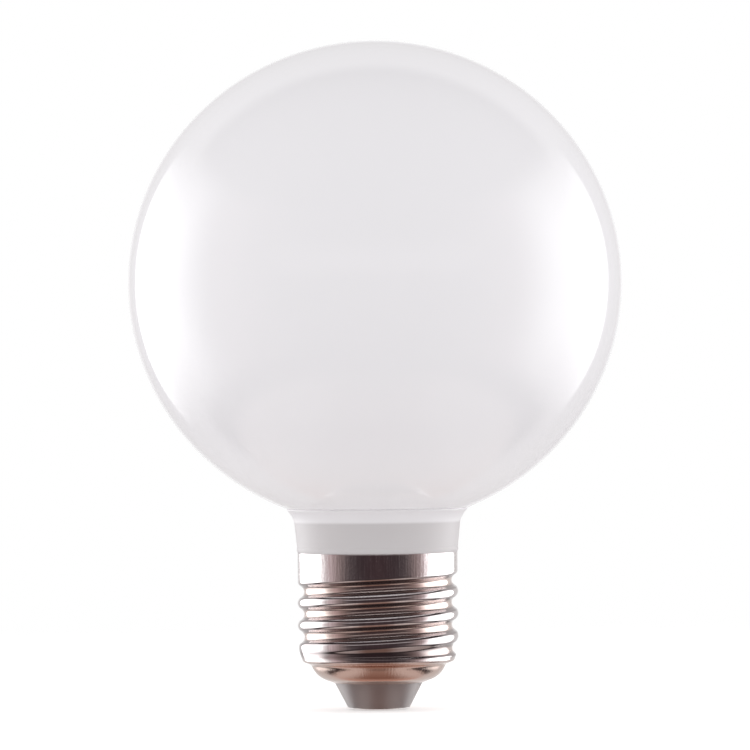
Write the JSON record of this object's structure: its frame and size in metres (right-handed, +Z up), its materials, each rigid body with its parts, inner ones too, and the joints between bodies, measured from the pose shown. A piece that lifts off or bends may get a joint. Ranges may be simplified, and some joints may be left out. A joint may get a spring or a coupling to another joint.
{
  "type": "led light bulb",
  "caption": "LED globe bulb: a round opal diffuser on a short flared white collar, with a polished screw cap, a white insulator cone and a flat centre contact.",
  "frame": {"origin": "centre of the flat face of the centre contact, on the bulb's axis", "axes": "+Z runs up the bulb's axis, from the screw cap to the top of the globe; +X is to the right in the picture and the picture looks along +Y"},
  "size_m": [0.08, 0.08, 0.108],
  "materials": {
    "opal": "glossy opal white",
    "collar_plastic": "satin white moulding",
    "plated_shell": "polished nickel plate over thin rolled sheet",
    "insulator_plastic": "satin white moulding",
    "contact_metal": "nickel plated rivet head"
  },
  "bodies": {
    "root": {"opal_globe": "opal", "collar": "collar_plastic", "screw_shell": "plated_shell", "insulator": "insulator_plastic", "centre_contact": "contact_metal"}
  },
  "joints": []
}
